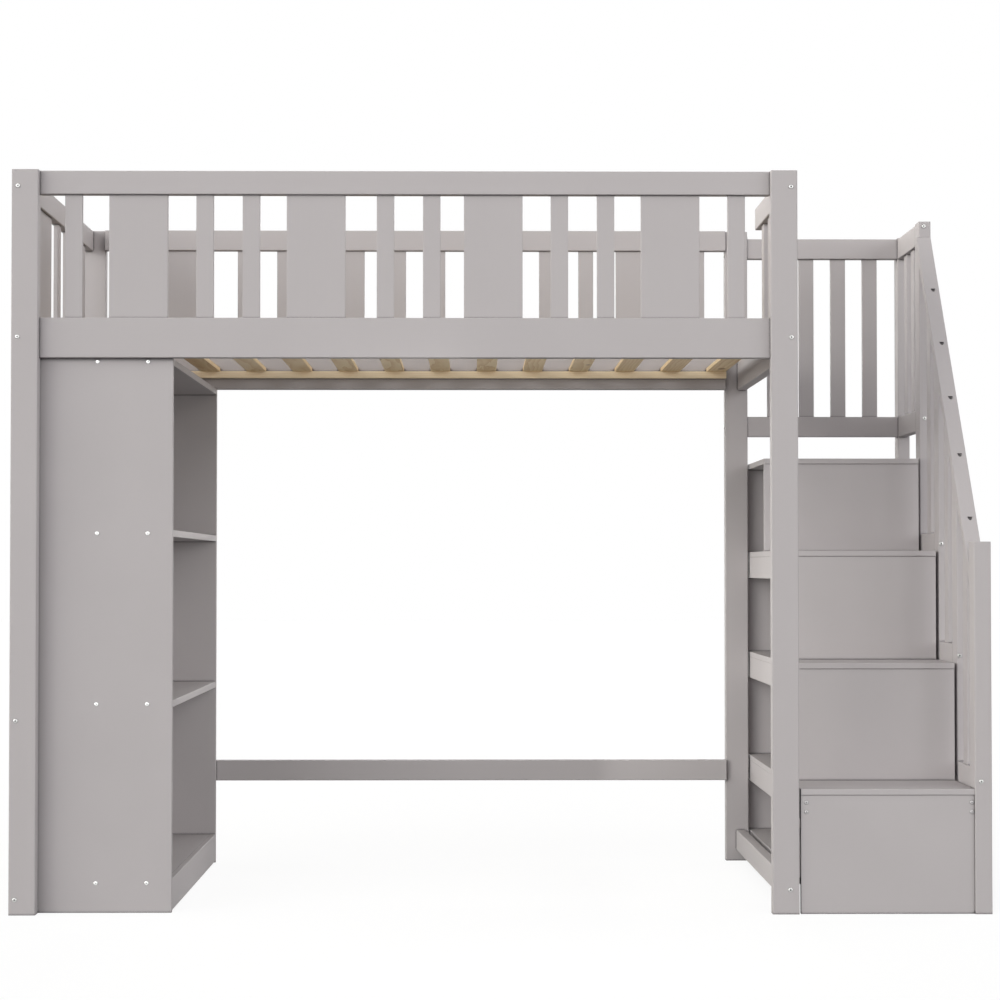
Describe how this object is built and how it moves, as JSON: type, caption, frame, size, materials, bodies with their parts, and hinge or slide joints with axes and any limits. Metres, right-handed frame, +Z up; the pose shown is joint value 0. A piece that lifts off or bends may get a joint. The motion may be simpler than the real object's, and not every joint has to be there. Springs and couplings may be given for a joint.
{
  "type": "loft bed with storage stairs",
  "caption": "Painted timber loft bed with slatted guards, a tall bookcase under one end, storage stairs with a sloping handrail at the other, and open space below.",
  "frame": {"origin": "on the floor below the middle of the whole bed, stairs included", "axes": "+X from the bookcase end to the stair end, +Y from the front to the back, +Z up"},
  "size_m": [2.4896, 1.06, 1.891],
  "materials": {
    "painted_timber": "satin paint",
    "painted_board": "satin paint",
    "natural_pine": "bare",
    "bright_steel": "plated"
  },
  "bodies": {
    "root": {"back_guard_panels": "painted_timber", "back_guard_rail": "painted_timber", "back_guard_slats": "painted_timber", "back_ledger": "natural_pine", "back_left_post": "painted_timber", "back_right_post": "painted_timber", "back_side_rail": "painted_timber", "back_stretcher": "painted_timber", "bed_slats": "natural_pine", "bookcase_back_panel": "painted_board", "bookcase_bottom_shelf": "painted_board", "bookcase_front_panel": "painted_board", "bookcase_lower_shelf": "painted_board", "bookcase_plinth": "painted_board", "bookcase_side_board": "painted_board", "bookcase_top": "painted_board", "bookcase_upper_shelf": "painted_board", "frame_bolts": "bright_steel", "front_guard_panels": "painted_timber", "front_guard_rail": "painted_timber", "front_guard_slats": "painted_timber", "front_ledger": "natural_pine", "front_left_post": "painted_timber", "front_right_post": "painted_timber", "front_side_rail": "painted_timber", "handrail": "painted_timber", "handrail_screws": "bright_steel", "landing_back_rails": "painted_timber", "landing_back_slats": "painted_timber", "landing_corner_post": "painted_timber", "landing_side_rails": "painted_timber", "landing_side_slats": "painted_timber", "left_bottom_rail": "painted_timber", "left_end_rail": "painted_timber", "left_guard_panels": "painted_timber", "left_guard_rail": "painted_timber", "left_guard_slats": "painted_timber", "left_middle_rail": "painted_timber", "lower_newel": "painted_timber", "right_bottom_rail": "painted_timber", "right_end_rail": "painted_timber", "right_guard_panel": "painted_timber", "right_guard_rail": "painted_timber", "right_guard_slats": "painted_timber", "stair_aprons": "painted_timber", "stair_back_panel": "painted_board", "stair_balusters": "painted_timber", "stair_bottom_board": "painted_board", "stair_middle_posts": "painted_timber", "stair_riser_1": "painted_board", "stair_riser_2": "painted_board", "stair_riser_3": "painted_board", "stair_riser_4": "painted_board", "stair_side_panels": "painted_board", "stair_step_rails": "painted_timber", "stair_tread_1": "painted_board", "stair_tread_2": "painted_board", "stair_tread_3": "painted_board", "stair_tread_4": "painted_board", "upper_newel": "painted_timber"}
  },
  "joints": []
}
